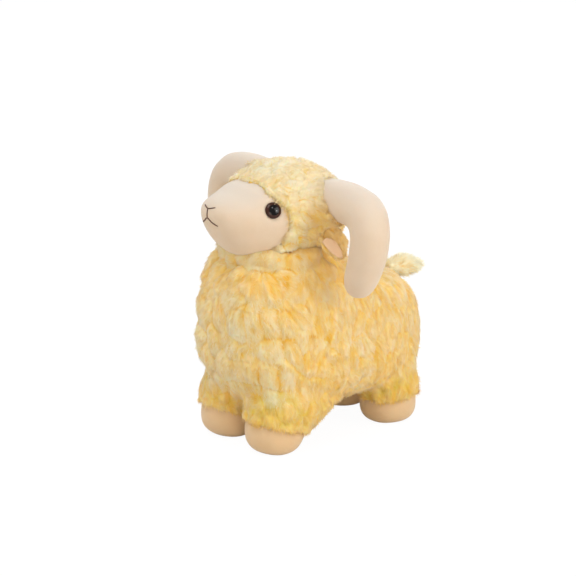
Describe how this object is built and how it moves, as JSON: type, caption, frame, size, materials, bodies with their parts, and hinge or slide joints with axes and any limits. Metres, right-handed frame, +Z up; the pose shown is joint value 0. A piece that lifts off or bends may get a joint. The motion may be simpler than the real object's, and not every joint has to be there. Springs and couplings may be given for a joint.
{
  "type": "plush sheep",
  "caption": "Standing plush sheep with curled horns, a velour muzzle and feet, tufted fleece, safety eyes, and soft ears and tail that bend at their seams.",
  "frame": {"origin": "on the floor, under the middle of the toy's box", "axes": "+Z up, the sheep faces -Y, its left side is +X; left and right are mirror images about X = 0"},
  "size_m": [0.2284, 0.251, 0.2512],
  "materials": {
    "fleece": "deep tufted plush, matt",
    "velour": "short brushed pile, matt",
    "horn_velour": "short brushed pile, matt",
    "filling_fibre": "loose polyester fibre",
    "eye_plastic": "polished",
    "washer_plastic": "moulded",
    "thread": "twisted thread"
  },
  "bodies": {
    "sheep_body": {"body_cover": "fleece", "body_filling": "filling_fibre", "head_cover": "fleece", "head_filling": "filling_fibre", "face_panel": "velour", "nose_stitching": "thread", "lip_stitching": "thread", "mouth_stitching": "thread", "horn_left": "horn_velour", "horn_filling_left": "filling_fibre", "eye_left": "eye_plastic", "eye_washer_left": "washer_plastic", "leg_front_left": "fleece", "foot_front_left": "velour", "leg_filling_front_left": "filling_fibre", "leg_rear_left": "fleece", "foot_rear_left": "velour", "leg_filling_rear_left": "filling_fibre", "horn_right": "horn_velour", "horn_filling_right": "filling_fibre", "eye_right": "eye_plastic", "eye_washer_right": "washer_plastic", "leg_front_right": "fleece", "foot_front_right": "velour", "leg_filling_front_right": "filling_fibre", "leg_rear_right": "fleece", "foot_rear_right": "velour", "leg_filling_rear_right": "filling_fibre"},
    "ear_left": {"ear_left_back": "fleece", "ear_left_lining": "velour"},
    "ear_right": {"ear_right_back": "fleece", "ear_right_lining": "velour"},
    "tail": {"tail": "fleece"}
  },
  "joints": [
    {"name": "ear_left_flop", "type": "hinge", "parent": "sheep_body", "child": "ear_left", "pos_m": [0.04762, -0.03374, 0.19388], "axis": [0.0536, -0.8677, -0.4942], "range_deg": [-8, 20], "stiffness_Nm_per_rad": 0.004},
    {"name": "ear_right_flop", "type": "hinge", "parent": "sheep_body", "child": "ear_right", "pos_m": [-0.04762, -0.03374, 0.19388], "axis": [0.0536, 0.8677, 0.4942], "range_deg": [-8, 20], "stiffness_Nm_per_rad": 0.004},
    {"name": "tail_lift", "type": "hinge", "parent": "sheep_body", "child": "tail", "pos_m": [0, 0.0857, 0.12958], "axis": [1, 0, 0], "range_deg": [-20, 40], "stiffness_Nm_per_rad": 0.02}
  ]
}
